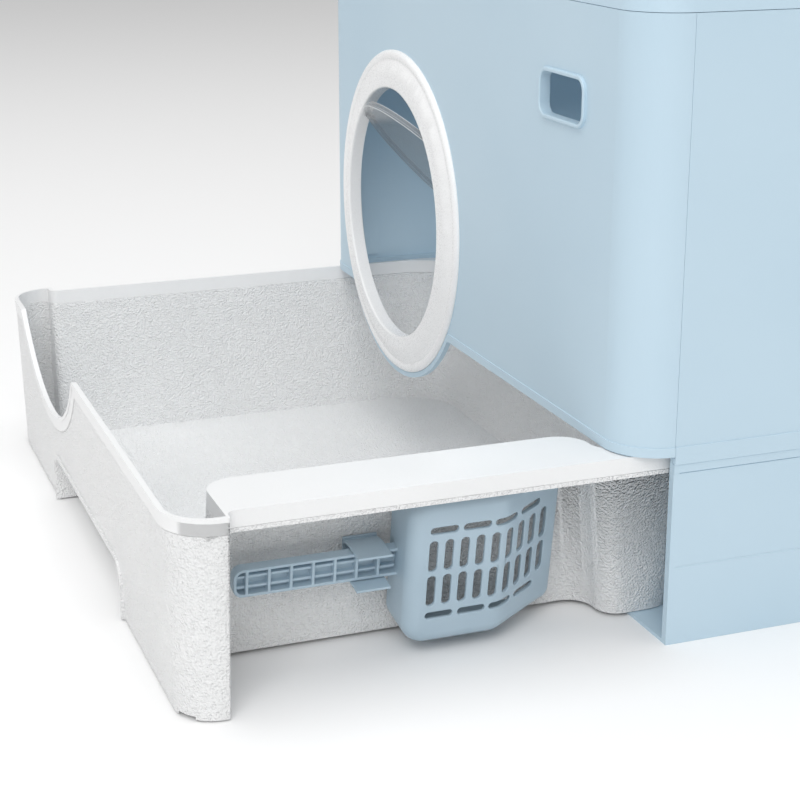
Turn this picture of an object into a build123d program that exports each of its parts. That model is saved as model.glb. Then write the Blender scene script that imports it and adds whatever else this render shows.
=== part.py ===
from build123d import *
from math import cos, radians, sin, tan
import os

# Drawer litter box, millimetres. +Z is up, the front is -Y, the right side is +X.
# The origin lies on the floor under the middle of the housing.
# The drawer stands drawn out by DRAWER_OUT and the flap is pushed inwards by FLAP_SWING.

os.makedirs("parts", exist_ok=True)

# ---- housing -------------------------------------------------------------------------------
HOUSING_WIDTH = 470.0
HOUSING_DEPTH = 355.0
HOUSING_CORNER = 27.0          # vertical corner radius, outside
PANEL_WALL = 2.6
BASE_TOP = 101.0               # seam between tub and side panels
FRONT_SKIRT = 105.6            # lower edge of the front panel
LID_SEAM = 327.8
LID_HEIGHT = 39.2
SEAM_GAP = 0.3                 # under the loose lid
JOINT_GAP = 0.15               # between two fixed panels
LAP_LENGTH = 9.0               # tongue of the front and rear panels behind the side panels
LAP_ROOT = 8.0
LAP_WALL = 2.0
LAP_GAP = 0.15
LAP_END = 9.0                  # tongues stop short of the panel's ends
BAND_HEIGHT = 5.1              # raised band round the foot of the panels
BAND_PROUD = 0.6

# ---- tub -----------------------------------------------------------------------------------
TUB_WALL = 5.0
TUB_FLOOR = 2.0
RIM_BAND = 4.5                 # raised band under the tub's top edge
RIM_PROUD = 0.4
TUB_LINE_HEIGHT = 44.0         # fine moulded groove along the side
TUB_LINE_WIDTH = 0.8
TUB_LINE_DEPTH = 0.15
RIM_LINE_WIDTH = 0.5           # groove under the raised band
RIM_LINE_DEPTH = 0.5
TUB_LINE_SETBACK = 3.5
TUB_LIP_HEIGHT = 6.0           # lip inside the side panels
TUB_LIP_WALL = 2.0
TUB_LIP_GAP = 0.2
GUIDE_HEIGHT = 9.0
GUIDE_WALL = 2.0
GUIDE_GAP = 1.0
GUIDE_LENGTH = 70.0

# ---- lid -----------------------------------------------------------------------------------
LID_WALL = 2.6
LID_DRAFT = 9.0                # degrees that the lid's sides lean in
LID_EDGE = 17.0                # rounding round the top
LID_RIM_DEPTH = 6.0            # locating rim inside the panels
LID_RIM_WALL = 2.0
LID_RIM_GAP = 0.4

# ---- door ----------------------------------------------------------------------------------
DOOR_INSET = 141.4             # door's centre inside the housing's left side
DOOR_X = DOOR_INSET - HOUSING_WIDTH / 2
DOOR_Z = 170.3
DOOR_RADIUS = 81.4             # clear opening
RING_FLAT = 8.2                # level crown round the opening
RING_CONE = 10.1               # cone from the crown down to the groove
RING_EDGE = 5.8                # rounded edge outside the groove
LOBE_MARGIN = 3.5              # panel seen round the ring
RING_RIDGE_RADIUS = DOOR_RADIUS + RING_FLAT
RING_GROOVE_RADIUS = RING_RIDGE_RADIUS + RING_CONE
RING_RADIUS = RING_GROOVE_RADIUS + RING_EDGE
LOBE_RADIUS = RING_RADIUS + LOBE_MARGIN     # round lobe of the front panel
LOBE_FILLET = 4.0
RING_GROOVE_HEIGHT = 2.0
RING_HEIGHT = 6.0
RING_TUBE_WALL = 2.6
RING_TUBE_LENGTH = 8.6         # from the ring's front back into the opening
SPIGOT_STEP = 14.6             # spigot's outside beyond the clear opening
SPIGOT_RADIUS = DOOR_RADIUS + SPIGOT_STEP
SPIGOT_WALL = 2.2
SPIGOT_LENGTH = 7.2            # reach behind the panel's front face
SPIGOT_GAP = 0.3
NUT_WIDTH = 10.0
NUT_RADIUS = SPIGOT_RADIUS + NUT_WIDTH
NUT_HEIGHT = 4.4
NUT_GAP = 0.05
NUT_GRIPS = 24
NUT_GRIP_RADIUS = 1.6

# ---- flap ----------------------------------------------------------------------------------
FLAP_GAP = 4.1                 # flap's edge to the clear opening
FLAP_RADIUS = DOOR_RADIUS - FLAP_GAP
FLAP_WALL = 1.6
FLAP_RIM_DEPTH = 4.1
FLAP_RIM_WALL = 1.4
FLAP_AXIS_DROP = 24.9          # pins below the top of the clear opening
FLAP_AXIS_RISE = DOOR_RADIUS - FLAP_AXIS_DROP
FLAP_AXIS_SETBACK = 2.0        # pins behind the flap's face
FLAP_AXIS_DEPTH = 1.0          # pins in front of the panel's front face
FLAP_SWING = 44.6              # degrees inwards
PIN_RADIUS = 1.1
PIN_GAP = 0.05                 # running clearance, radial
PIN_REACH = 6.0                # pin inside the flap's boss
PIN_BEARING = 6.0              # pin inside the ring's boss
FLAP_BOSS_RADIUS = 1.8
RING_BOSS_RADIUS = 3.4

# ---- window --------------------------------------------------------------------------------
WINDOW_INSET = 86.0            # window's centre inside the housing's right side
WINDOW_X = HOUSING_WIDTH / 2 - WINDOW_INSET
WINDOW_Z = 278.2
WINDOW_WIDTH = 50.0
WINDOW_HEIGHT = 22.5
WINDOW_CORNER = 6.0
WINDOW_LIP = 2.2
WINDOW_PROUD = 2.0
WINDOW_DEPTH = 6.4

# ---- drawer --------------------------------------------------------------------------------
DRAWER_OUT = 233.5             # how far it is drawn out
DRAWER_STOP_GAP = 0.3          # columns to tub when shut
DRAWER_TOP = 105.0
DRAWER_FOOT = 1.0
DRAWER_WALL = 3.0
TRAY_UNDERSIDE = 2.6
TRAY_FLOOR = 2.2
COLUMN_DEPTH = 29.5
COLUMN_CORNER = 27.0
COLUMN_REAR_WALL = 1.4
FRONT_DRAFT = 1.5              # degrees
WALL_SLOPE = 9.26              # degrees that the tray's walls lean out
TRAY_LENGTH = 322.3            # inside, at the rim
TRAY_SIDE_INSET = 9.0          # tray and flanges inside the housing's sides
FLANGE_WIDTH = 16.3            # level rim at the right and the back
LEDGE_WIDTH = 44.0
LEDGE_LENGTH = 204.5
LEDGE_CORNER = 16.5
LEDGE_FOOT_CORNER = 10.0
FASCIA_HEIGHT = 11.2
FASCIA_WALL = 2.6
FASCIA_FLARE = 5.0
TRAY_CORNER = 38.0
TRAY_STEP_CORNER = 5.0
RIM_BEAD = 2.2
RIM_STRIPE = 8.5
RIM_STEP = 0.4
NOTCH_GAP = 0.8                # round the panel's lobe
NOTCH_MOUTH_FILLET = 3.5
ARCH_LEFT = -93.0
ARCH_RIGHT = 101.0
ARCH_TOP = 31.5
ARCH_CORNER = 13.0
ARCH_DEPTH = 16.0
ARCH_WALL = 2.4

# ---- scoop and clip ------------------------------------------------------------------------
SCOOP_HANDLE_FACE = 17.0       # handle's open face in front of the recess wall
SCOOP_RISE = 52.8              # scoop's centre line, up the recess wall
HANDLE_LEFT = 11.3             # behind the column
HANDLE_HEIGHT = 16.0
HANDLE_DEPTH = 6.5
HANDLE_POCKET = 4.7
HANDLE_WALL = 1.7
HANDLE_END_RADIUS = 5.0
HANDLE_RIBS = 7
RIB_PITCH = 11.6
RIB_WALL = 1.6
RIB_START = 7.0
LONG_RIB_OFFSET = 2.9
LONG_RIB_DROP = 1.6
BASKET_LEFT = 98.2             # basket's back wall behind the column
BASKET_FACE = 33.3
BASKET_FLAT = 52.0
BASKET_LENGTH = 94.0
BASKET_RAMP = 31.0             # degrees
BASKET_LIP = 5.0               # clearance of the lip to the recess wall
BASKET_HALF_WIDTH = 44.0
BASKET_WALL = 2.0
BASKET_BEND = 15.0
BASKET_CORNER = 13.0
BASKET_EDGE = 8.0
BASKET_TIP_CORNER = 8.0
SLOT_WIDTH = 4.7
SLOT_LENGTH = 18.0
SLOT_PITCH = 8.6
SLOT_COLUMNS = 9
SLOT_FIRST = 13.0
SLOT_ROW_OFFSET = 10.3
BAR_SLOT_LENGTH = 15.3
BAR_SLOT_HEIGHT = 4.0
BAR_ROW_OFFSET = 25.2
BAR_FIRST = 18.3
BAR_PITCH = 18.1
BAR_RAMP_FIRST = 53.4
BAR_RAMP_PITCH = 17.3
BAR_RAMP_LENGTH = 14.2
CLIP_LEFT = 73.7
CLIP_LENGTH = 18.5
CLIP_WALL = 1.4
CLIP_PLATE = 1.6
CLIP_PLATE_HALF = 9.0
CLIP_BELLY = 10.2
CLIP_MOUTH = 10.3
CLIP_REACH = 8.4               # jaws beyond the handle's open face
CLIP_GRIP_GAP = 0.3
CLIP_GRIP_LENGTH = 3.0
CLIP_PEG_RADIUS = 1.8
CLIP_PEG_HEAD = 3.0
CLIP_PEG_SPREAD = 5.5

# ---- worked out ----------------------------------------------------------------------------
half_width = HOUSING_WIDTH / 2
front_y = -HOUSING_DEPTH / 2
rear_y = HOUSING_DEPTH / 2
front_seam_y = front_y + HOUSING_CORNER
rear_seam_y = rear_y - HOUSING_CORNER
panel_top = LID_SEAM - SEAM_GAP
panel_foot = BASE_TOP + JOINT_GAP
band_top = FRONT_SKIRT + BAND_HEIGHT
inner_half_width = half_width - PANEL_WALL
beyond = 10.0                  # how far cutting tools run past the solids

door_plane = Plane(origin=(DOOR_X, front_y, DOOR_Z), x_dir=(1, 0, 0), z_dir=(0, -1, 0))
flap_axis_y = front_y - FLAP_AXIS_DEPTH
flap_axis_z = DOOR_Z + FLAP_AXIS_RISE

column_rear_y = front_seam_y - DRAWER_OUT - DRAWER_STOP_GAP
drawer_front_y = column_rear_y - COLUMN_DEPTH
tray_front_y = drawer_front_y + DRAWER_WALL
tray_back_y = tray_front_y + TRAY_LENGTH
flange_back_y = tray_back_y + FLANGE_WIDTH
tray_floor_z = TRAY_UNDERSIDE + TRAY_FLOOR
slope = tan(radians(WALL_SLOPE))
draft = tan(radians(FRONT_DRAFT))
fascia_x = half_width - TRAY_SIDE_INSET
ledge_x = fascia_x - LEDGE_WIDTH
flange_x = fascia_x - FLANGE_WIDTH
tray_left_x = -half_width + TRAY_SIDE_INSET + DRAWER_WALL
ledge_front_y = column_rear_y - COLUMN_REAR_WALL
ledge_rear_y = ledge_front_y + LEDGE_LENGTH
notch_radius = LOBE_RADIUS + NOTCH_GAP


def housing_outline(inset, mode=Mode.ADD):
    """Plan of the housing, drawn inside its outer face by inset."""
    width = HOUSING_WIDTH - 2 * inset
    depth = HOUSING_DEPTH - 2 * inset
    RectangleRounded(width, depth, HOUSING_CORNER - inset, mode=mode)


def slab(x_low, x_high, y_low, y_high, z_low, z_high, mode=Mode.ADD):
    """Upright block between two corners, made in the part being built."""
    with Locations(((x_low + x_high) / 2, (y_low + y_high) / 2, (z_low + z_high) / 2)):
        Box(x_high - x_low, y_high - y_low, z_high - z_low, mode=mode)


def panel_ring(z_low, z_high, outer_inset=0.0, inner_inset=PANEL_WALL):
    """Upright wall all round the housing's plan, made in the part being built."""
    with BuildSketch(Plane.XY.offset(z_low)) as ring:
        housing_outline(outer_inset)
        housing_outline(inner_inset, mode=Mode.SUBTRACT)
    extrude(ring.sketch, amount=z_high - z_low)


def keep_between(y_low, y_high):
    """Cuts the part being built down to the stretch between two Y planes."""
    slab(-half_width - beyond, half_width + beyond, y_low, y_high,
         -beyond, LID_SEAM + LID_HEIGHT + beyond, mode=Mode.INTERSECT)


def lap_tongues(seam_y, towards):
    """Tongues that reach past a seam behind both side panels."""
    y_ends = sorted((seam_y - towards * LAP_ROOT, seam_y + towards * LAP_LENGTH))
    outer = inner_half_width - LAP_GAP
    for x_low in (-outer, outer - LAP_WALL):
        slab(x_low, x_low + LAP_WALL, y_ends[0], y_ends[1],
             panel_foot + LAP_END, panel_top - LAP_END)


def rounded_face(corners):
    """Face with straight sides, from a list of (point, radius) corners in order."""
    count = len(corners)
    tangents = []
    for index in range(count):
        point = Vector(*corners[index][0])
        radius = corners[index][1]
        back = (Vector(*corners[index - 1][0]) - point).normalized()
        on = (Vector(*corners[(index + 1) % count][0]) - point).normalized()
        inwards = (back + on).normalized()
        half_angle = radians(back.get_angle(on)) / 2
        reach = radius / tan(half_angle)
        middle = point + inwards * (radius / sin(half_angle) - radius)
        tangents.append((point + back * reach, middle, point + on * reach, radius))
    with BuildLine() as edge:
        for index in range(count):
            start, middle, end, radius = tangents[index]
            Line(tangents[index - 1][2], start)
            if radius > 0:
                ThreePointArc(start, middle, end)
    make_face(edge.edges())


def cylinder_along(axis_plane, radius, start, length, mode=Mode.ADD):
    """Round bar or bore along a plane's normal, from start, made in the part being built."""
    with BuildSketch(axis_plane.offset(start)) as disc:
        Circle(radius)
    extrude(disc.sketch, amount=length, mode=mode)


def finish(part, label, colour):
    """Names the piece, colours it and writes it to its own file."""
    part.label = label
    part.color = Color(*colour)
    export_step(part, "parts/" + label + ".step")


BLUE = (0.68, 0.79, 0.86)
WHITE = (0.93, 0.93, 0.93)
GREY = (0.42, 0.45, 0.48)
SLATE = (0.62, 0.72, 0.79)
STEEL = (0.75, 0.75, 0.77)

# ---- base_tub: open-fronted tub under the panels ---------------------------------------------
guide_rise = DRAWER_TOP - GUIDE_HEIGHT
guide_left_x = tray_left_x - DRAWER_WALL + slope * guide_rise - GUIDE_GAP
guide_right_x = flange_x - slope * guide_rise + DRAWER_WALL + GUIDE_GAP
guide_rear_y = rear_y - TUB_WALL
with BuildPart() as base_tub:
    with BuildSketch(Plane.XY):
        housing_outline(RIM_PROUD)
    extrude(amount=TUB_FLOOR)
    panel_ring(0, BASE_TOP, RIM_PROUD, TUB_WALL)
    panel_ring(BASE_TOP - RIM_BAND, BASE_TOP, 0, TUB_WALL)
    lip_inset = PANEL_WALL + TUB_LIP_GAP
    panel_ring(BASE_TOP - RIM_BAND, BASE_TOP + TUB_LIP_HEIGHT, lip_inset, lip_inset + TUB_LIP_WALL)
    keep_between(front_seam_y, rear_y + beyond)
    # fine grooves along both sides, and one under the raised band
    grooves = [(TUB_LINE_HEIGHT, TUB_LINE_WIDTH, TUB_LINE_DEPTH),
               (BASE_TOP - RIM_BAND - RIM_LINE_WIDTH / 2, RIM_LINE_WIDTH, RIM_LINE_DEPTH)]
    for groove_z, groove_width, groove_depth in grooves:
        for side in (-1, 1):
            line_x = side * (half_width - RIM_PROUD)
            slab(line_x - groove_depth, line_x + groove_depth,
                 front_seam_y + TUB_LINE_SETBACK, rear_seam_y,
                 groove_z - groove_width / 2, groove_z + groove_width / 2,
                 mode=Mode.SUBTRACT)
    # ribs that centre the tray as it is pushed home
    for rib_x in (guide_left_x - GUIDE_WALL, guide_right_x):
        slab(rib_x, rib_x + GUIDE_WALL, guide_rear_y - GUIDE_LENGTH, guide_rear_y, 0, GUIDE_HEIGHT)
finish(base_tub.part, "base_tub", BLUE)

# ---- front_panel: wraps both front corners, with the door's lobe and the window --------------
flat_half = half_width - HOUSING_CORNER - 2.0
window_plane = Plane(origin=(WINDOW_X, front_y, WINDOW_Z), x_dir=(1, 0, 0), z_dir=(0, -1, 0))
skirt_rise = FRONT_SKIRT - DOOR_Z
with BuildSketch(door_plane) as lobed_face:
    with Locations((-DOOR_X, (panel_top + FRONT_SKIRT) / 2 - DOOR_Z)):
        Rectangle(2 * flat_half, panel_top - FRONT_SKIRT)
    Circle(LOBE_RADIUS)
    lobe_roots = [vertex for vertex in lobed_face.vertices()
                  if abs(vertex.Y - skirt_rise) < 0.01 and abs(vertex.X) < LOBE_RADIUS]
    fillet(lobe_roots, LOBE_FILLET)
with BuildPart() as corner_bands:
    panel_ring(FRONT_SKIRT, band_top, -BAND_PROUD, PANEL_WALL / 2)
    keep_between(front_y - beyond, front_seam_y - JOINT_GAP / 2)
    slab(-flat_half, flat_half, front_y - beyond, front_y + beyond, FRONT_SKIRT - beyond,
         band_top + beyond, mode=Mode.SUBTRACT)
with BuildPart() as front_panel:
    panel_ring(FRONT_SKIRT, panel_top)
    keep_between(front_y - beyond, front_seam_y - JOINT_GAP / 2)
    extrude(lobed_face.sketch, amount=-PANEL_WALL)
    add(corner_bands.part)
    with BuildSketch(door_plane):
        add(lobed_face.sketch_local)
        offset(lobed_face.sketch_local, amount=-BAND_HEIGHT, mode=Mode.SUBTRACT)
        Circle(RING_RADIUS + SPIGOT_GAP, mode=Mode.SUBTRACT)
        with Locations((-DOOR_X, (panel_top + band_top + beyond) / 2 - DOOR_Z)):
            Rectangle(2 * half_width, panel_top + beyond - band_top, mode=Mode.SUBTRACT)
    extrude(amount=BAND_PROUD)
    cylinder_along(door_plane, SPIGOT_RADIUS + SPIGOT_GAP, -beyond, 2 * beyond, mode=Mode.SUBTRACT)
    with BuildSketch(window_plane.offset(WINDOW_PROUD)):
        RectangleRounded(WINDOW_WIDTH + 2 * WINDOW_LIP, WINDOW_HEIGHT + 2 * WINDOW_LIP,
                         WINDOW_CORNER + WINDOW_LIP)
    extrude(amount=-WINDOW_DEPTH)
    with BuildSketch(window_plane.offset(WINDOW_PROUD + beyond)):
        RectangleRounded(WINDOW_WIDTH, WINDOW_HEIGHT, WINDOW_CORNER)
    extrude(amount=-WINDOW_DEPTH - 2 * beyond, mode=Mode.SUBTRACT)
    window_face_y = front_y - WINDOW_PROUD
    fillet(front_panel.edges().filter_by_position(Axis.Y, window_face_y - 0.01, window_face_y + 0.01),
           WINDOW_LIP * 0.38)
    lap_tongues(front_seam_y, 1)
finish(front_panel.part, "front_panel", BLUE)

# ---- rear_panel ------------------------------------------------------------------------------
with BuildPart() as rear_panel:
    panel_ring(panel_foot, panel_top)
    panel_ring(panel_foot, band_top, -BAND_PROUD, PANEL_WALL / 2)
    keep_between(rear_seam_y + JOINT_GAP / 2, rear_y + beyond)
    lap_tongues(rear_seam_y, -1)
finish(rear_panel.part, "rear_panel", BLUE)

# ---- left_side_panel, right_side_panel -------------------------------------------------------
for name, side in (("left_side_panel", -1), ("right_side_panel", 1)):
    with BuildPart() as side_panel:
        x_faces = sorted((side * inner_half_width, side * half_width))
        slab(x_faces[0], x_faces[1], front_seam_y + JOINT_GAP / 2, rear_seam_y - JOINT_GAP / 2,
             panel_foot, panel_top)
        x_faces = sorted((side * inner_half_width, side * (half_width + BAND_PROUD)))
        slab(x_faces[0], x_faces[1], front_seam_y + JOINT_GAP / 2, rear_seam_y - JOINT_GAP / 2,
             panel_foot, band_top)
    finish(side_panel.part, name, BLUE)


# ---- lid: domed cover with a locating rim ----------------------------------------------------
def lid_dome(inset):
    """Solid dome whose sides lean in, drawn inside the lid's outer face by inset."""
    with BuildPart() as dome:
        with BuildSketch(Plane.XY.offset(LID_SEAM)):
            housing_outline(inset)
        extrude(amount=LID_HEIGHT - inset, taper=LID_DRAFT)
        fillet(dome.faces().sort_by(Axis.Z)[-1].edges(), LID_EDGE - inset)
    return dome.part


lid_outside = lid_dome(0)
lid_inside = lid_dome(LID_WALL)
rim_inset = PANEL_WALL + LID_RIM_GAP
with BuildPart() as lid:
    add(lid_outside)
    add(lid_inside, mode=Mode.SUBTRACT)
    panel_ring(LID_SEAM - LID_RIM_DEPTH, LID_SEAM + LID_RIM_DEPTH, rim_inset,
               rim_inset + LID_RIM_WALL)
finish(lid.part, "lid", BLUE)

# ---- door_ring: grooved ring with a tube into the opening and a spigot through the panel -----
ring_section = Plane(origin=(DOOR_X, front_y, DOOR_Z), x_dir=(1, 0, 0), z_dir=(0, 0, -1))
door_axis = Axis((DOOR_X, front_y, DOOR_Z), (0, -1, 0))
boss_x = (DOOR_RADIUS ** 2 - FLAP_AXIS_RISE ** 2) ** 0.5
seat = NUT_GAP
crown_height = RING_GROOVE_HEIGHT + 0.8
with BuildPart() as door_ring:
    with BuildSketch(ring_section):
        with BuildLine():
            ThreePointArc((RING_RADIUS, seat + 0.8), (RING_RADIUS - 2.4, crown_height),
                          (RING_GROOVE_RADIUS, RING_GROOVE_HEIGHT))
            Polyline((RING_GROOVE_RADIUS, RING_GROOVE_HEIGHT),
                     (RING_RIDGE_RADIUS, RING_HEIGHT),
                     (DOOR_RADIUS, RING_HEIGHT),
                     (DOOR_RADIUS, RING_HEIGHT - RING_TUBE_LENGTH),
                     (DOOR_RADIUS + RING_TUBE_WALL, RING_HEIGHT - RING_TUBE_LENGTH),
                     (DOOR_RADIUS + RING_TUBE_WALL, RING_HEIGHT - RING_TUBE_WALL),
                     (RING_RIDGE_RADIUS - 0.6, RING_HEIGHT - RING_TUBE_WALL),
                     (SPIGOT_RADIUS - SPIGOT_WALL, 0.9),
                     (SPIGOT_RADIUS - SPIGOT_WALL, -SPIGOT_LENGTH),
                     (SPIGOT_RADIUS, -SPIGOT_LENGTH),
                     (SPIGOT_RADIUS, seat),
                     (RING_RADIUS, seat),
                     (RING_RADIUS, seat + 0.8))
        make_face()
    revolve(axis=door_axis)
    for side in (-1, 1):
        boss_plane = Plane(origin=(DOOR_X + side * boss_x, flap_axis_y, flap_axis_z),
                           x_dir=(0, 1, 0), z_dir=(side, 0, 0))
        cylinder_along(boss_plane, RING_BOSS_RADIUS, 0, PIN_BEARING + RING_TUBE_WALL)
    cylinder_along(door_plane, DOOR_RADIUS, -2 * beyond, 4 * beyond, mode=Mode.SUBTRACT)
    for side in (-1, 1):
        boss_plane = Plane(origin=(DOOR_X + side * boss_x, flap_axis_y, flap_axis_z),
                           x_dir=(0, 1, 0), z_dir=(side, 0, 0))
        cylinder_along(boss_plane, PIN_RADIUS + PIN_GAP, -beyond, beyond + PIN_BEARING,
                       mode=Mode.SUBTRACT)
    mouth = door_ring.edges().filter_by(GeomType.CIRCLE)
    mouth = mouth.filter_by_position(Axis.Y, front_y - RING_HEIGHT - 0.01, front_y - RING_HEIGHT + 0.01)
    fillet(mouth.sort_by(SortBy.LENGTH)[:1], 1.3)
finish(door_ring.part, "door_ring", WHITE)

# ---- door_ring_nut: clamps the ring from inside ----------------------------------------------
nut_front = -PANEL_WALL - NUT_GAP
with BuildPart() as door_ring_nut:
    with BuildSketch(door_plane.offset(nut_front)):
        Circle(NUT_RADIUS)
        with PolarLocations(NUT_RADIUS, NUT_GRIPS):
            Circle(NUT_GRIP_RADIUS, mode=Mode.SUBTRACT)
        Circle(SPIGOT_RADIUS + NUT_GAP, mode=Mode.SUBTRACT)
    extrude(amount=-NUT_HEIGHT)
finish(door_ring_nut.part, "door_ring_nut", WHITE)

# ---- door_flap: round flap with a rim, hung on two pins above its middle ---------------------
swing = radians(FLAP_SWING)
flap_plane = Plane(origin=(DOOR_X, flap_axis_y, flap_axis_z), x_dir=(1, 0, 0),
                   z_dir=(0, -cos(swing), -sin(swing)))
flap_face = FLAP_AXIS_SETBACK
flap_edge_x = (FLAP_RADIUS ** 2 - FLAP_AXIS_RISE ** 2) ** 0.5
pin_inner_x = flap_edge_x - PIN_REACH
boss_end_x = boss_x - RING_BOSS_RADIUS
with BuildPart() as door_flap:
    with BuildSketch(flap_plane.offset(flap_face)):
        with Locations((0, -FLAP_AXIS_RISE)):
            Circle(FLAP_RADIUS)
    extrude(amount=-FLAP_RIM_DEPTH)
    with BuildSketch(flap_plane.offset(flap_face - FLAP_WALL)):
        with Locations((0, -FLAP_AXIS_RISE)):
            Circle(FLAP_RADIUS - FLAP_RIM_WALL)
    extrude(amount=-FLAP_RIM_DEPTH, mode=Mode.SUBTRACT)
    for side in (-1, 1):
        pin_plane = Plane(origin=(DOOR_X, flap_axis_y, flap_axis_z), x_dir=(0, 1, 0),
                          z_dir=(side, 0, 0))
        cylinder_along(pin_plane, FLAP_BOSS_RADIUS, pin_inner_x - FLAP_RIM_WALL,
                       boss_end_x - pin_inner_x + FLAP_RIM_WALL)
        cylinder_along(pin_plane, PIN_RADIUS, pin_inner_x, boss_x, mode=Mode.SUBTRACT)
finish(door_flap.part, "door_flap", GREY)

# ---- flap_pin_left, flap_pin_right -----------------------------------------------------------
for name, side in (("flap_pin_left", -1), ("flap_pin_right", 1)):
    pin_plane = Plane(origin=(DOOR_X, flap_axis_y, flap_axis_z), x_dir=(0, 1, 0),
                      z_dir=(side, 0, 0))
    with BuildPart() as flap_pin:
        cylinder_along(pin_plane, PIN_RADIUS, pin_inner_x,
                       boss_x + PIN_BEARING - 2 * PIN_GAP - pin_inner_x)
    finish(flap_pin.part, name, STEEL)


# ---- drawer ----------------------------------------------------------------------------------
def tray_plan(z, wall, rear_wall):
    """Plan of the tray at height z, drawn outside its inner faces by wall."""
    lean = slope * (DRAWER_TOP - z)
    front_lean = draft * (DRAWER_TOP - z)
    column_x = half_width - DRAWER_WALL + wall
    front = tray_front_y + front_lean - wall
    column_back = ledge_front_y - front_lean + rear_wall
    step_back = column_rear_y - DRAWER_WALL + wall
    left = tray_left_x + lean - wall
    ledge = ledge_x - lean + wall
    flange = flange_x - lean + wall
    ledge_back = ledge_rear_y + lean - wall
    back = tray_back_y - lean + wall
    column_corner = min(COLUMN_CORNER - DRAWER_WALL + wall,
                        min(column_back, step_back) - front - TRAY_STEP_CORNER / 2)
    corners = [
        ((-column_x, front), column_corner),
        ((column_x, front), column_corner),
        ((column_x, column_back), TRAY_STEP_CORNER / 5),
        ((ledge, column_back), LEDGE_CORNER - wall),
        ((ledge, ledge_back), LEDGE_CORNER - wall),
        ((flange, ledge_back), LEDGE_FOOT_CORNER + wall),
        ((flange, back), TRAY_CORNER + wall),
        ((left, back), TRAY_CORNER + wall),
        ((left, step_back), TRAY_STEP_CORNER - wall),
        ((-column_x, step_back), TRAY_STEP_CORNER / 5),
    ]
    rounded_face(corners)


def tray_block(z_low, z_high, wall, rear_wall=0.0):
    """Solid that fills the tray's plan between two heights, with its leaning walls."""
    with BuildPart() as block:
        for z in (z_low, z_high):
            with BuildSketch(Plane.XY.offset(z)):
                tray_plan(z, wall, rear_wall)
        loft(ruled=True)
    return block.part


def front_zone(part, stripe):
    """The part's front section, down to stripe below the rim or round the notch."""
    with BuildPart() as zone:
        cylinder_along(door_plane, notch_radius + stripe, 0, front_y - drawer_front_y + beyond)
        slab(-half_width - beyond, half_width + beyond, drawer_front_y - beyond, column_rear_y,
             DRAWER_TOP - stripe, DRAWER_TOP)
        slab(-half_width - beyond, half_width + beyond, drawer_front_y - beyond, column_rear_y,
             0, DRAWER_TOP, mode=Mode.INTERSECT)
        add(part, mode=Mode.INTERSECT)
    return zone.part


outer_skins = [tray_block(DRAWER_FOOT, DRAWER_TOP, DRAWER_WALL - steps * RIM_STEP, COLUMN_REAR_WALL)
               for steps in (0, 1, 2)]
bead_zone = front_zone(outer_skins[0], RIM_BEAD)
stripe_zone = front_zone(outer_skins[1], RIM_STRIPE)
tray_space = tray_block(tray_floor_z, DRAWER_TOP + DRAWER_FOOT, 0)
flange_front_y = column_rear_y - COLUMN_REAR_WALL / 2
flange_corner = TRAY_CORNER + FLANGE_WIDTH


def flange_outline(inset):
    """Plan of the level rim's outer edge."""
    x_low = tray_left_x - DRAWER_WALL + inset
    x_high = fascia_x - inset
    y_high = flange_back_y - inset
    rounded_face([((x_low, flange_front_y), 0), ((x_high, flange_front_y), 0),
                  ((x_high, y_high), flange_corner - inset),
                  ((x_low, y_high), TRAY_CORNER - inset)])


# local frame on the recess wall: x runs back from the column, y up the wall, z out of it
wall_lean = radians(WALL_SLOPE)
wall_foot_x = ledge_x + DRAWER_WALL - slope * (DRAWER_TOP - TRAY_UNDERSIDE)
recess_wall = Plane(origin=(wall_foot_x, column_rear_y, TRAY_UNDERSIDE), x_dir=(0, 1, 0),
                    z_dir=(cos(wall_lean), 0, -sin(wall_lean)))
clip_middle = CLIP_LEFT + CLIP_LENGTH / 2
peg_spots = [(clip_middle - CLIP_PEG_SPREAD, SCOOP_RISE), (clip_middle + CLIP_PEG_SPREAD, SCOOP_RISE)]


def arch_profile(margin):
    """Finger arch in the drawer's front, grown by margin."""
    width = ARCH_RIGHT - ARCH_LEFT + 2 * margin
    height = ARCH_TOP + margin + beyond
    with Locations(((ARCH_LEFT + ARCH_RIGHT) / 2, ARCH_TOP + margin - height / 2)):
        Rectangle(width, height)


def arch_block(margin, y_low, y_high):
    """Solid arch between two Y planes with its top corners rounded."""
    with BuildPart() as block:
        with BuildSketch(Plane(origin=(0, y_high, 0), x_dir=(1, 0, 0), z_dir=(0, -1, 0))):
            arch_profile(margin)
        extrude(amount=y_high - y_low)
        fillet(block.edges().filter_by(Axis.Y).group_by(Axis.Z)[-1], ARCH_CORNER + margin)
    return block.part


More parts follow.
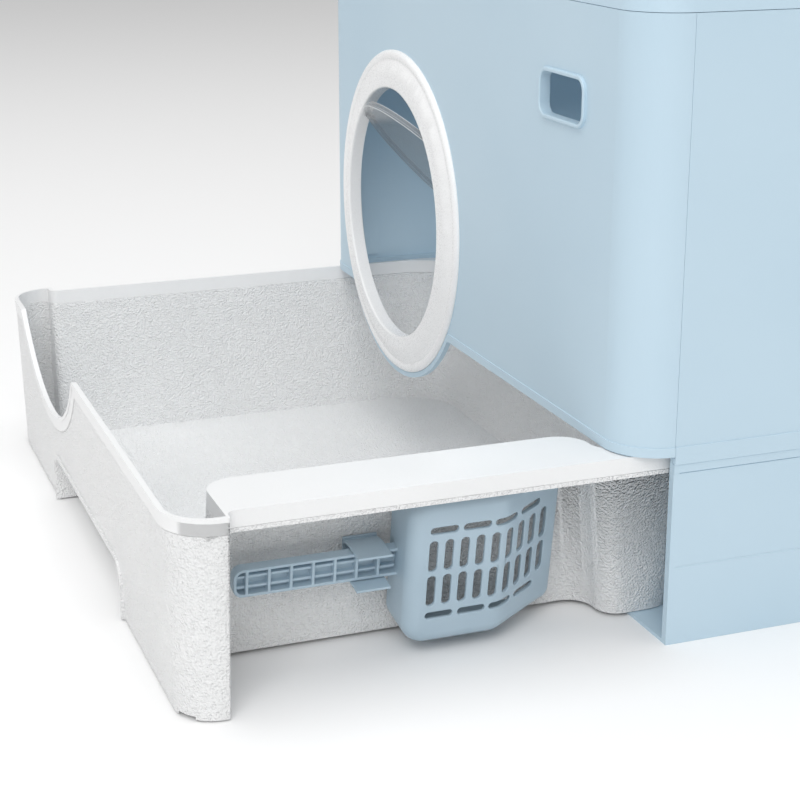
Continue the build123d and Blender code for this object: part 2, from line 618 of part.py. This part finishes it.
arch_case = arch_block(ARCH_WALL, drawer_front_y + DRAWER_WALL / 2,
                       drawer_front_y + ARCH_DEPTH + ARCH_WALL)
arch_space = arch_block(0, drawer_front_y - beyond, drawer_front_y + ARCH_DEPTH)
notch_half = (notch_radius ** 2 - (DOOR_Z - DRAWER_TOP) ** 2) ** 0.5
mouth_rise = DRAWER_TOP - DOOR_Z
with BuildSketch(door_plane.offset(front_y - drawer_front_y - 2 * DRAWER_WALL)) as notch:
    Circle(notch_radius)
    with Locations((0, mouth_rise + beyond / 2)):
        Rectangle(2 * notch_half + 4 * NOTCH_MOUTH_FILLET, beyond)
    mouth_corners = [vertex for vertex in notch.vertices()
                     if abs(vertex.Y - mouth_rise) < 0.01 and abs(vertex.X) < notch_half + 1]
    fillet(mouth_corners, NOTCH_MOUTH_FILLET)
with BuildPart() as drawer:
    add(outer_skins[2])
    add(stripe_zone)
    add(bead_zone)
    # level rim and its fascia
    with BuildSketch(Plane.XY.offset(DRAWER_TOP - FASCIA_HEIGHT)):
        flange_outline(0)
    extrude(amount=FASCIA_HEIGHT)
    with BuildSketch(Plane.XY.offset(DRAWER_TOP - FASCIA_HEIGHT)):
        flange_outline(FASCIA_WALL)
    extrude(amount=FASCIA_HEIGHT - FASCIA_WALL, mode=Mode.SUBTRACT)
    add(outer_skins[2])
    # flare between fascia and column
    slab(fascia_x - FASCIA_WALL, fascia_x + FASCIA_FLARE, flange_front_y,
         column_rear_y + FASCIA_FLARE, DRAWER_TOP - FASCIA_HEIGHT, DRAWER_TOP)
    with BuildSketch(Plane.XY.offset(DRAWER_TOP - FASCIA_HEIGHT)):
        with Locations((fascia_x + FASCIA_FLARE, column_rear_y + FASCIA_FLARE)):
            Circle(FASCIA_FLARE)
    extrude(amount=FASCIA_HEIGHT, mode=Mode.SUBTRACT)
    add(tray_space, mode=Mode.SUBTRACT)
    # hollow underside: only the front section reaches down to the floor
    slab(-half_width - beyond, half_width + beyond, column_rear_y, flange_back_y + beyond,
         -beyond, TRAY_UNDERSIDE, mode=Mode.SUBTRACT)
    with BuildSketch(Plane.XY.offset(-beyond)):
        with Locations((0, (drawer_front_y + column_rear_y) / 2 + DRAWER_WALL)):
            RectangleRounded(HOUSING_WIDTH - 3 * DRAWER_WALL, COLUMN_DEPTH - DRAWER_WALL,
                             COLUMN_DEPTH / 2 - DRAWER_WALL)
    extrude(amount=beyond + TRAY_UNDERSIDE, mode=Mode.SUBTRACT)
    add(arch_case)
    add(arch_space, mode=Mode.SUBTRACT)
    slab(-half_width - beyond, half_width + beyond, drawer_front_y, flange_back_y, -beyond,
         DRAWER_FOOT, mode=Mode.SUBTRACT)
    # notch that clears the panel's lobe
    extrude(notch.sketch, amount=2 * DRAWER_WALL + beyond, mode=Mode.SUBTRACT)
    # one moulding: drops the crumb that the cut leaves beside the notch's mouth
    add(drawer.solids().sort_by(SortBy.VOLUME)[-1], mode=Mode.REPLACE)
    for spot in peg_spots:
        with BuildSketch(recess_wall.offset(-2 * DRAWER_WALL)):
            with Locations(spot):
                Circle(CLIP_PEG_RADIUS + SPIGOT_GAP / 2)
        extrude(amount=3 * DRAWER_WALL, mode=Mode.SUBTRACT)
finish(drawer.part, "drawer", WHITE)

# ---- scoop_clip: two curved jaws on a plate, pegged through the recess wall ------------------
clip_section = Plane(origin=recess_wall.from_local_coords((CLIP_LEFT + CLIP_LENGTH, SCOOP_RISE, 0)),
                     x_dir=recess_wall.z_dir, z_dir=(0, -1, 0))
jaw_end = SCOOP_HANDLE_FACE + CLIP_REACH
grip_inner = HANDLE_HEIGHT / 2 + CLIP_GRIP_GAP
with BuildPart() as scoop_clip:
    with BuildSketch(clip_section):
        with Locations((CLIP_PLATE / 2, 0)):
            Rectangle(CLIP_PLATE, 2 * CLIP_PLATE_HALF)
        for side in (-1, 1):
            with BuildLine():
                Spline((CLIP_PLATE / 2, side * (CLIP_PLATE_HALF - 2.5)),
                       (5.0, side * (CLIP_BELLY - 2.2)),
                       (11.0, side * (CLIP_BELLY - CLIP_WALL / 2 - 0.2)),
                       (SCOOP_HANDLE_FACE, side * (CLIP_BELLY - CLIP_WALL / 2 - 0.1)),
                       (jaw_end, side * (CLIP_MOUTH - CLIP_WALL / 2)))
            trace(line_width=CLIP_WALL)
            # grip that bears on the handle's side
            with Locations((SCOOP_HANDLE_FACE - CLIP_GRIP_LENGTH,
                            side * (grip_inner + CLIP_BELLY - CLIP_WALL / 2) / 2)):
                Rectangle(CLIP_GRIP_LENGTH, CLIP_BELLY - CLIP_WALL / 2 - grip_inner)
    extrude(amount=CLIP_LENGTH)
    for spot in peg_spots:
        with BuildSketch(recess_wall.offset(CLIP_PLATE)):
            with Locations(spot):
                Circle(CLIP_PEG_RADIUS)
        extrude(amount=-CLIP_PLATE - DRAWER_WALL)
        with BuildSketch(recess_wall.offset(-DRAWER_WALL)):
            with Locations(spot):
                Circle(CLIP_PEG_HEAD)
        extrude(amount=-CLIP_PLATE)
finish(scoop_clip.part, "scoop_clip", SLATE)


# ---- scoop: ribbed handle and slotted basket in one moulding ---------------------------------
def basket_block(inset):
    """Solid basket, drawn inside its outer faces by inset."""
    ramp = tan(radians(BASKET_RAMP))
    face = BASKET_FACE - inset
    low = BASKET_LIP - inset * 2
    tip = BASKET_FACE - (BASKET_LENGTH - BASKET_FLAT) * ramp - inset / cos(radians(BASKET_RAMP))
    flat_end = BASKET_FLAT - inset * tan(radians(BASKET_RAMP / 2))
    half = BASKET_HALF_WIDTH - inset
    section = Plane(origin=recess_wall.from_local_coords((BASKET_LEFT, SCOOP_RISE - half, 0)),
                    x_dir=(0, 1, 0), z_dir=-recess_wall.y_dir)
    with BuildPart() as block:
        with BuildSketch(section):
            rounded_face([((inset, low), 0), ((inset, face), 0),
                          ((flat_end, face), BASKET_BEND - inset),
                          ((BASKET_LENGTH - inset, tip), 0), ((BASKET_LENGTH - inset, low), 0)])
        extrude(amount=-2 * half)
        out = Axis(recess_wall.origin, recess_wall.z_dir)
        corners = block.edges().filter_by(out)
        fillet(corners.sort_by(Axis.Y)[:2], BASKET_CORNER - inset)
        fillet(block.edges().filter_by(out).sort_by(Axis.Y)[-2:], BASKET_TIP_CORNER - inset)
        # soft edge round the face, from the back wall to the tip
        face_edges = []
        for edge in block.edges():
            ends = [recess_wall.to_local_coords(edge @ 0), recess_wall.to_local_coords(edge @ 1)]
            outer_ends = min(ends[0].Z, ends[1].Z) > tip + BASKET_WALL / 2
            lengthwise = abs(ends[0].X - ends[1].X) > 1
            at_back = max(ends[0].X, ends[1].X) < BASKET_LEFT + BASKET_WALL
            if outer_ends and (lengthwise or at_back):
                face_edges.append(edge)
        fillet(face_edges, BASKET_EDGE - inset)
    return block.part


def handle_plan(inset, right_end):
    """Plan of the handle, rounded at its free end and cut square at right_end."""
    left = HANDLE_LEFT + inset
    spare = HANDLE_END_RADIUS
    with Locations(((left + right_end + spare) / 2, SCOOP_RISE)):
        RectangleRounded(right_end + spare - left, HANDLE_HEIGHT - 2 * inset,
                         HANDLE_END_RADIUS - inset)
    with Locations((right_end + spare, SCOOP_RISE)):
        Rectangle(2 * spare, HANDLE_HEIGHT, mode=Mode.SUBTRACT)


basket_outside = basket_block(0)
basket_inside = basket_block(BASKET_WALL)
handle_back = SCOOP_HANDLE_FACE - HANDLE_DEPTH
with BuildPart() as scoop:
    add(basket_outside)
    add(basket_inside, mode=Mode.SUBTRACT)
    # slots in the basket's face
    with BuildSketch(recess_wall.offset(BASKET_LIP)):
        for row in (-1, 1):
            for column in range(SLOT_COLUMNS):
                slot_x = BASKET_LEFT + SLOT_FIRST + column * SLOT_PITCH
                with Locations((slot_x, SCOOP_RISE + row * SLOT_ROW_OFFSET)):
                    SlotOverall(SLOT_LENGTH, SLOT_WIDTH, rotation=90)
            bars = [(BAR_FIRST, BAR_SLOT_LENGTH), (BAR_FIRST + BAR_PITCH, BAR_SLOT_LENGTH),
                    (BAR_RAMP_FIRST, BAR_RAMP_LENGTH),
                    (BAR_RAMP_FIRST + BAR_RAMP_PITCH, BAR_RAMP_LENGTH)]
            for bar_x, bar_length in bars:
                with Locations((BASKET_LEFT + bar_x, SCOOP_RISE + row * BAR_ROW_OFFSET)):
                    SlotOverall(bar_length, BAR_SLOT_HEIGHT)
    extrude(amount=BASKET_FACE, mode=Mode.SUBTRACT)
    # handle channel, closed by the basket's wall
    with BuildSketch(recess_wall.offset(handle_back)):
        handle_plan(0, BASKET_LEFT + BASKET_WALL / 2)
    extrude(amount=HANDLE_DEPTH)
    with BuildSketch(recess_wall.offset(SCOOP_HANDLE_FACE - HANDLE_POCKET)):
        handle_plan(HANDLE_WALL, BASKET_LEFT)
    extrude(amount=HANDLE_POCKET, mode=Mode.SUBTRACT)
    with BuildSketch(recess_wall.offset(handle_back)):
        for rib in range(HANDLE_RIBS):
            with Locations((HANDLE_LEFT + RIB_START + rib * RIB_PITCH, SCOOP_RISE)):
                Rectangle(RIB_WALL, HANDLE_HEIGHT - HANDLE_WALL)
    extrude(amount=HANDLE_DEPTH)
    with BuildSketch(recess_wall.offset(handle_back)):
        for row in (-1, 1):
            with Locations(((HANDLE_LEFT + BASKET_LEFT) / 2, SCOOP_RISE + row * LONG_RIB_OFFSET)):
                Rectangle(BASKET_LEFT - HANDLE_LEFT - HANDLE_WALL, RIB_WALL)
    extrude(amount=HANDLE_DEPTH - LONG_RIB_DROP)
finish(scoop.part, "scoop", SLATE)
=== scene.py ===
from math import cos, radians, sin

import bmesh
import bpy
from mathutils import Matrix, Vector


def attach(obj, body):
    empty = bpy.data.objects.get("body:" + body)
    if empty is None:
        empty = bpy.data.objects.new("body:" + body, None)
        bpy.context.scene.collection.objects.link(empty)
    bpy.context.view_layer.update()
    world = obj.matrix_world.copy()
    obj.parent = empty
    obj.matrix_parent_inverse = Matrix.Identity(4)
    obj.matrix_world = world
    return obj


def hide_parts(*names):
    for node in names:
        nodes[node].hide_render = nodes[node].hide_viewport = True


# Drawer litter box: looks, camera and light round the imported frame. Metres, +Z up, front is -Y.
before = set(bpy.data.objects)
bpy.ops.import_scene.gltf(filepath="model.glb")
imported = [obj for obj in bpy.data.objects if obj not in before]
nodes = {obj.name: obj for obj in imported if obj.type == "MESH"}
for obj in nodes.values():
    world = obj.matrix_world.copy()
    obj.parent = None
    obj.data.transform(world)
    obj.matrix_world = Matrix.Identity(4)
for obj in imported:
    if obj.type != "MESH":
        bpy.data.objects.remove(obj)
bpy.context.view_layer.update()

MM = 0.001
DOOR_AXIS = Vector((-0.0936, -0.1775, 0.1703))      # middle of the door on the front panel's face
RIM_STRIPE = 8.5 * MM                               # smooth band along the drawer's rim
DRAWER_TOP = 0.105
NOTCH_RADIUS = 0.1098                               # drawer's notch round the door
PEBBLE_FADE = 0.3 * MM                              # half the stretch over which the pebbles start
PANEL_ROUNDING = 0.12 * MM
CLIP_ROUNDING = 0.3 * MM
SCOOP_ROUNDING = 0.4 * MM
FLAP_ROUNDING = 0.3 * MM
UNROUNDED = 0.0
RING_CREASE = 18.0                                  # degrees, keeps the edge of the ring's crown
WELD_DISTANCE = 2e-6
FLATNESS = 0.4                                      # degrees between facets that are joined into one


# ---- shader graphs ---------------------------------------------------------------------------
class Wire:
    """A socket that takes part in plain arithmetic."""

    def __init__(self, graph, socket):
        self.graph = graph
        self.socket = socket

    def _math(self, operation, a, b=None):
        node = self.graph.tree.nodes.new("ShaderNodeMath")
        node.operation = operation
        self.graph.put(node.inputs[0], a)
        if b is not None:
            self.graph.put(node.inputs[1], b)
        return Wire(self.graph, node.outputs[0])

    def __add__(self, other):
        return self._math("ADD", self, other)

    def __mul__(self, other):
        return self._math("MULTIPLY", self, other)

    def ramp(self, low, high, to_low=0.0, to_high=1.0):
        """Goes smoothly from to_low at low to to_high at high."""
        inputs = {"Value": self, "From Min": low, "From Max": high, "To Min": to_low, "To Max": to_high}
        return self.graph.node("ShaderNodeMapRange", inputs, interpolation_type="SMOOTHSTEP")


class Graph:
    """A material and its nodes."""

    def __init__(self, name, colour, roughness, **values):
        self.material = bpy.data.materials.new(name)
        self.material.use_nodes = True
        self.tree = self.material.node_tree
        self.shader = self.tree.nodes["Principled BSDF"]
        self.shader.inputs["Base Color"].default_value = (*colour, 1.0)
        self.shader.inputs["Roughness"].default_value = roughness
        for key, value in values.items():
            self.shader.inputs[key.replace("_", " ")].default_value = value
        self.place = self.node("ShaderNodeTexCoord", {}, "Object")

    def put(self, socket, value):
        if isinstance(value, Wire):
            self.tree.links.new(value.socket, socket)
        else:
            socket.default_value = value

    def node(self, kind, inputs, output=0, **settings):
        """Any other node: its inputs by name, its settings by keyword."""
        made = self.tree.nodes.new(kind)
        for key, value in settings.items():
            setattr(made, key, value)
        for key, value in inputs.items():
            self.put(made.inputs[key], value)
        return Wire(self, made.outputs[output])

    def noise(self, scale, detail=2.0, roughness=0.5):
        inputs = {"Vector": self.place, "Scale": scale, "Detail": detail, "Roughness": roughness}
        return self.node("ShaderNodeTexNoise", inputs)

    def axis(self, name):
        return self.node("ShaderNodeSeparateXYZ", {"Vector": self.place}, name)

    def distance(self, point, along):
        """Distance from a point, measured across the given directions' axes only."""
        flat = self.node("ShaderNodeVectorMath", {0: self.place, 1: along}, operation="MULTIPLY")
        spot = tuple(p * a for p, a in zip(point, along))
        return self.node("ShaderNodeVectorMath", {0: flat, 1: spot}, "Value", operation="DISTANCE")

    def tint(self, factor, low, high):
        mix = self.tree.nodes.new("ShaderNodeMix")
        mix.data_type = "RGBA"
        self.put(mix.inputs[0], factor)
        mix.inputs[6].default_value = (*low, 1.0)
        mix.inputs[7].default_value = (*high, 1.0)
        self.put(self.shader.inputs["Base Color"], Wire(self, mix.outputs[2]))

    def bump(self, height, distance, strength=1.0):
        inputs = {"Height": height, "Distance": distance, "Strength": strength}
        self.put(self.shader.inputs["Normal"], self.node("ShaderNodeBump", inputs))

    def finish(self, roughness):
        self.put(self.shader.inputs["Roughness"], roughness)


def blue_plastic():
    """Light blue moulded panels: satin, with a fine spark-eroded grain and a faint painted glow that
    lightens their shade.
    """
    # the weak emission in the panels' own colour is a painted glow that lightens their shaded faces
    graph = Graph("panel_blue_plastic", (0.50, 0.64, 0.74), 0.42, IOR=1.46,
                  Emission_Color=(0.50, 0.64, 0.74, 1.0), Emission_Strength=0.035)
    grain = graph.noise(1500.0, 2.0, 0.6)
    cloud = graph.noise(7.0, 2.0)
    graph.tint(cloud.ramp(0.3, 0.7), (0.485, 0.628, 0.728), (0.512, 0.652, 0.748))
    graph.finish(grain.ramp(0.3, 0.7, 0.37, 0.46) + cloud * 0.03)
    graph.bump(grain + graph.noise(420.0, 1.0) * 0.5, 0.00005, 0.5)
    return graph.material


def drawer_plastic():
    """White moulded drawer: pebbled below the stripe along its rim, smooth on the stripe."""
    graph = Graph("drawer_white_plastic", (0.86, 0.87, 0.875), 0.4, IOR=1.47)
    height = graph.axis("Z")
    round_door = graph.distance(DOOR_AXIS, (1.0, 0.0, 1.0))
    stripe_foot = DRAWER_TOP - RIM_STRIPE
    stripe_radius = NOTCH_RADIUS + RIM_STRIPE
    low = height.ramp(stripe_foot - 2 * PEBBLE_FADE, stripe_foot, 1.0, 0.0)
    away = round_door.ramp(stripe_radius - PEBBLE_FADE, stripe_radius + PEBBLE_FADE)
    pebbled = low * away
    cells = {"Vector": graph.place, "Scale": 800.0, "Smoothness": 0.5}
    pebble = graph.node("ShaderNodeTexVoronoi", cells, feature="SMOOTH_F1")
    grain = graph.noise(1400.0, 2.0, 0.6)
    cloud = graph.noise(9.0, 3.0)
    graph.tint(cloud.ramp(0.3, 0.7), (0.838, 0.843, 0.846), (0.872, 0.875, 0.877))
    graph.finish(pebbled * 0.12 + grain.ramp(0.3, 0.7, 0.30, 0.38))
    graph.bump(pebble * pebbled * 2.2 + graph.noise(900.0, 2.0) * (pebbled * 1.2 + 0.25), 0.00042, 1.0)
    return graph.material


def ring_plastic():
    """White ring: smooth and a little glossy."""
    graph = Graph("ring_white_plastic", (0.88, 0.885, 0.89), 0.3, IOR=1.47)
    grain = graph.noise(1600.0, 2.0)
    graph.tint(graph.noise(16.0, 2.0).ramp(0.3, 0.7), (0.915, 0.918, 0.92), (0.935, 0.937, 0.939))
    graph.finish(grain.ramp(0.3, 0.7, 0.25, 0.33))
    graph.bump(grain, 0.00003, 0.5)
    return graph.material


def slate_plastic():
    """Blue-grey plastic of the scoop and its clip."""
    graph = Graph("scoop_slate_plastic", (0.36, 0.47, 0.55), 0.4, IOR=1.46)
    grain = graph.noise(1500.0, 2.0)
    graph.tint(graph.noise(30.0, 2.0).ramp(0.3, 0.7), (0.395, 0.51, 0.595), (0.425, 0.54, 0.625))
    graph.finish(grain.ramp(0.3, 0.7, 0.33, 0.45))
    graph.bump(grain, 0.00005, 0.5)
    return graph.material


def smoked_sheet(name, colour, alpha):
    """Clear smoked sheet of the flap, and the light sheet painted on its rounded edges as their
    highlight.
    """
    graph = Graph(name, colour, 0.09, IOR=1.5, Alpha=alpha)
    haze = graph.noise(38.0, 4.0, 0.6)
    graph.finish(haze.ramp(0.35, 0.75, 0.07, 0.15))
    graph.bump(graph.noise(60.0, 1.0), 0.00004, 0.4)
    return graph.material


def pin_steel():
    """Drawn wire of the two pins."""
    graph = Graph("pin_drawn_steel", (0.55, 0.55, 0.56), 0.3, Metallic=1.0)
    along_pin = (40.0, 3000.0, 3000.0)
    stretched = graph.node("ShaderNodeVectorMath", {0: graph.place, 1: along_pin}, operation="MULTIPLY")
    lines = graph.node("ShaderNodeTexNoise", {"Vector": stretched, "Scale": 1.0})
    graph.finish(lines.ramp(0.3, 0.7, 0.22, 0.4))
    graph.bump(lines, 0.00002, 0.6)
    return graph.material


BLUE = blue_plastic()
DRAWER = drawer_plastic()
RING = ring_plastic()
SLATE = slate_plastic()
SMOKED = smoked_sheet("flap_smoked_sheet", (0.31, 0.33, 0.345), 0.5)
# light, nearly opaque sheet for the flap's bevel strips: a painted highlight along its edges
FLAP_PAINTED_HIGHLIGHT = smoked_sheet("flap_edge_painted_highlight", (0.80, 0.82, 0.83), 0.9)
STEEL = pin_steel()


# ---- pieces ----------------------------------------------------------------------------------
def dressed(node, body, material, width, angle=30.0, strip=-1):
    """A smooth-shaded copy of a node, its sharp edges rounded off by width, shown in its place."""
    piece = bpy.data.objects.new(node + "_shell", nodes[node].data.copy())
    bpy.context.collection.objects.link(piece)
    shape = bmesh.new()
    shape.from_mesh(piece.data)
    bmesh.ops.remove_doubles(shape, verts=shape.verts, dist=WELD_DISTANCE)
    bmesh.ops.dissolve_limit(shape, angle_limit=radians(FLATNESS), verts=shape.verts, edges=shape.edges)
    shape.to_mesh(piece.data)
    shape.free()
    piece.data.materials.clear()
    piece.data.materials.append(material)
    bpy.ops.object.select_all(action="DESELECT")
    bpy.context.view_layer.objects.active = piece
    piece.select_set(True)
    bpy.ops.object.shade_smooth_by_angle(angle=radians(angle))
    if width > 0:
        rounding = piece.modifiers.new("rounding", "BEVEL")
        rounding.width = width
        rounding.segments = 2
        rounding.limit_method = "ANGLE"
        rounding.angle_limit = radians(angle + 5.0)
        rounding.use_clamp_overlap = False
        rounding.material = strip
    levelled = piece.modifiers.new("levelled", "WEIGHTED_NORMAL")
    levelled.weight = 100
    levelled.keep_sharp = True
    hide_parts(node)
    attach(piece, body)
    return piece


for panel in ("base_tub", "front_panel", "rear_panel", "left_side_panel", "right_side_panel"):
    dressed(panel, "housing", BLUE, PANEL_ROUNDING)
dressed("lid", "lid", BLUE, PANEL_ROUNDING)
dressed("door_ring", "housing", RING, UNROUNDED, angle=RING_CREASE)
dressed("door_ring_nut", "housing", RING, UNROUNDED)
dressed("drawer", "drawer", DRAWER, UNROUNDED)
dressed("scoop_clip", "drawer", SLATE, CLIP_ROUNDING)
dressed("scoop", "scoop", SLATE, SCOOP_ROUNDING)
flap = dressed("door_flap", "flap", SMOKED, FLAP_ROUNDING, strip=1)
# slot 1, the bevel strips, takes the painted edge highlight
flap.data.materials.append(FLAP_PAINTED_HIGHLIGHT)
for pin in ("flap_pin_left", "flap_pin_right"):
    nodes[pin].data.materials.clear()
    nodes[pin].data.materials.append(STEEL)


# ---- floor, light, camera --------------------------------------------------------------------
def floor_material():
    """Matt pale floor."""
    graph = Graph("studio_floor", (0.93, 0.93, 0.93), 0.9)
    graph.shader.inputs["Specular IOR Level"].default_value = 0.1
    graph.finish(graph.noise(30.0).ramp(0.3, 0.7, 0.85, 0.95))
    return graph.material


floor_mesh = bpy.data.meshes.new("studio_floor")
reach = 9.0                                         # half the floor's side
corners = [(-reach, -reach, 0.0), (reach, -reach, 0.0), (reach, reach, 0.0), (-reach, reach, 0.0)]
floor_mesh.from_pydata(corners, [], [(0, 1, 2, 3)])
floor_mesh.materials.append(floor_material())
floor = bpy.data.objects.new("studio_floor", floor_mesh)
bpy.context.collection.objects.link(floor)

world = bpy.data.worlds.new("studio")
world.use_nodes = True
world.node_tree.nodes["Background"].inputs["Color"].default_value = (1.0, 1.0, 1.0, 1.0)
world.node_tree.nodes["Background"].inputs["Strength"].default_value = 0.51
bpy.context.scene.world = world


def softbox(name, place, aim, size, power):
    """A square soft white light at place that points at aim."""
    data = bpy.data.lights.new(name, "AREA")
    data.shape = "SQUARE"
    data.size = size
    data.energy = power
    lamp = bpy.data.objects.new(name, data)
    bpy.context.collection.objects.link(lamp)
    lamp.location = place
    lamp.rotation_euler = (Vector(aim) - Vector(place)).to_track_quat("-Z", "Y").to_euler()


softbox("key", (2.2, -1.4, 2.2), (0.0, -0.2, 0.1), 1.8, 40.0)
softbox("fill", (-1.6, -2.6, 1.6), (0.0, -0.2, 0.1), 2.4, 3.5)
softbox("top", (0.0, -0.4, 3.0), (0.0, -0.3, 0.0), 2.6, 40.0)
softbox("cabin_fill", (-0.02, 0.0, 0.215), (-0.02, 0.0, 0.0), 0.22, 0.26)

CAMERA_PLACE = Vector((0.9815, -0.5814, 0.4083))
AZIMUTH = radians(69.356)
ELEVATION = radians(17.742)
ROLL = radians(-0.028)
LENS = 79.75                                        # millimetres, on a sensor 36 mm wide
forward = Vector((-sin(AZIMUTH) * cos(ELEVATION), cos(AZIMUTH) * cos(ELEVATION), -sin(ELEVATION)))
camera_data = bpy.data.cameras.new("photo_camera")
camera_data.sensor_width = 36.0
camera_data.lens = LENS
camera_data.clip_end = 60.0
camera = bpy.data.objects.new("photo_camera", camera_data)
bpy.context.collection.objects.link(camera)
turn = forward.to_track_quat("-Z", "Y").to_matrix() @ Matrix.Rotation(ROLL, 3, "Z")
camera.matrix_world = Matrix.Translation(CAMERA_PLACE) @ turn.to_4x4()
bpy.context.scene.camera = camera

bpy.context.scene.view_settings.view_transform = "Standard"
bpy.context.scene.view_settings.look = "None"
bpy.context.scene.view_settings.exposure = 0.0
